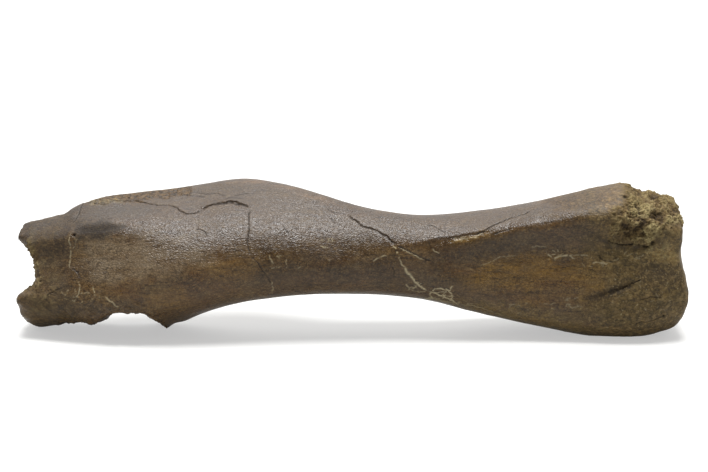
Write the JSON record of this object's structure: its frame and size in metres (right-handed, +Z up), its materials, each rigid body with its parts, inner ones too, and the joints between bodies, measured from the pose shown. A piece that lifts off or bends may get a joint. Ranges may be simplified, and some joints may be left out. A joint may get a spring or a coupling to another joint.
{
  "type": "fossil hadrosaur humerus",
  "caption": "Fossil upper arm bone of a duck-billed dinosaur, with a long crest, a waisted shaft, a broken shoulder end and a knuckled elbow end.",
  "frame": {"origin": "middle of the underside of the box around the bone, at the level of the surface it lies on", "axes": "+X along the bone from the shoulder end to the elbow end, -Y towards the rear face of the bone, +Z up"},
  "size_m": [0.5008, 0.0958, 0.1134],
  "materials": {
    "fossil_bone": "satin"
  },
  "bodies": {
    "root": {"humerus": "fossil_bone"}
  },
  "joints": []
}
